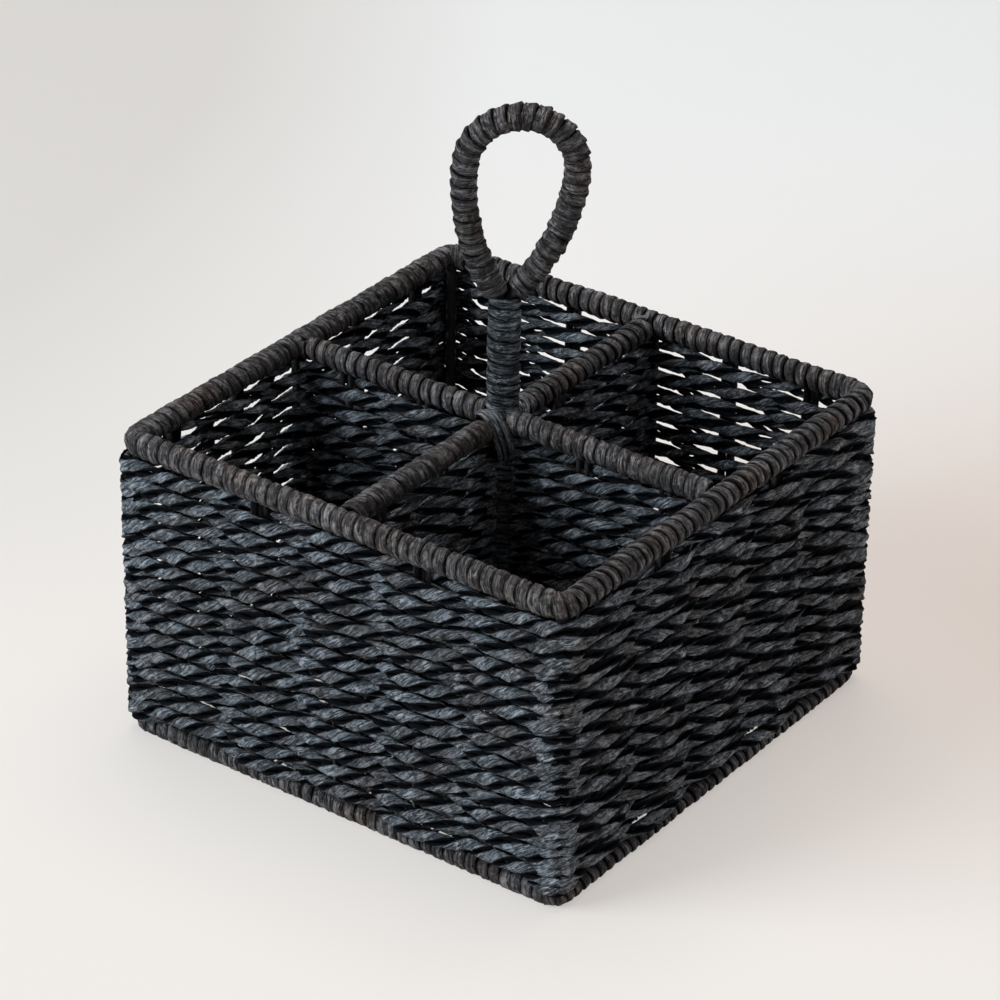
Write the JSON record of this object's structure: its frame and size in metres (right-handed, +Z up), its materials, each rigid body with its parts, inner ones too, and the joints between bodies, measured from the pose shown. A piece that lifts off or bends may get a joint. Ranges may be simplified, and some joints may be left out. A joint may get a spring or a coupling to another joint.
{
  "type": "woven utensil caddy",
  "caption": "Open square caddy of dark cord woven over a wire frame, with crossed dividers and a wound teardrop loop handle.",
  "frame": {"origin": "centre of the footprint, on the surface that the base binding rests on", "axes": "+X along the front wall to the right, +Y from the front wall to the back, +Z up through the post"},
  "size_m": [0.2, 0.2, 0.2455],
  "materials": {
    "wire": "black satin paint on steel wire",
    "woven_cord": "two-ply twisted paper cord, charcoal, soft sheen",
    "binding_cord": "wrapped paper cord, charcoal, pleated, soft sheen"
  },
  "bodies": {
    "root": {"rim_rod": "wire", "base_rod": "wire", "corner_posts": "wire", "front_stakes": "wire", "right_stakes": "wire", "back_stakes": "wire", "left_stakes": "wire", "divider_top_rods": "wire", "divider_base_rods": "wire", "divider_stakes": "wire", "base_stakes": "wire", "handle_rod": "wire", "front_weave": "woven_cord", "right_weave": "woven_cord", "back_weave": "woven_cord", "left_weave": "woven_cord", "front_divider_weave": "woven_cord", "right_divider_weave": "woven_cord", "back_divider_weave": "woven_cord", "left_divider_weave": "woven_cord", "base_weave_front_left": "woven_cord", "base_weave_front_right": "woven_cord", "base_weave_back_right": "woven_cord", "base_weave_back_left": "woven_cord", "rim_binding_front": "binding_cord", "rim_binding_right": "binding_cord", "rim_binding_back": "binding_cord", "rim_binding_left": "binding_cord", "rim_corner_bindings": "binding_cord", "base_binding_front": "binding_cord", "base_binding_right": "binding_cord", "base_binding_back": "binding_cord", "base_binding_left": "binding_cord", "base_corner_bindings": "binding_cord", "divider_binding_front": "binding_cord", "divider_binding_right": "binding_cord", "divider_binding_back": "binding_cord", "divider_binding_left": "binding_cord", "lower_post_winding": "binding_cord", "upper_post_winding": "binding_cord", "loop_winding": "binding_cord", "crossing_lashing": "binding_cord"}
  },
  "joints": []
}
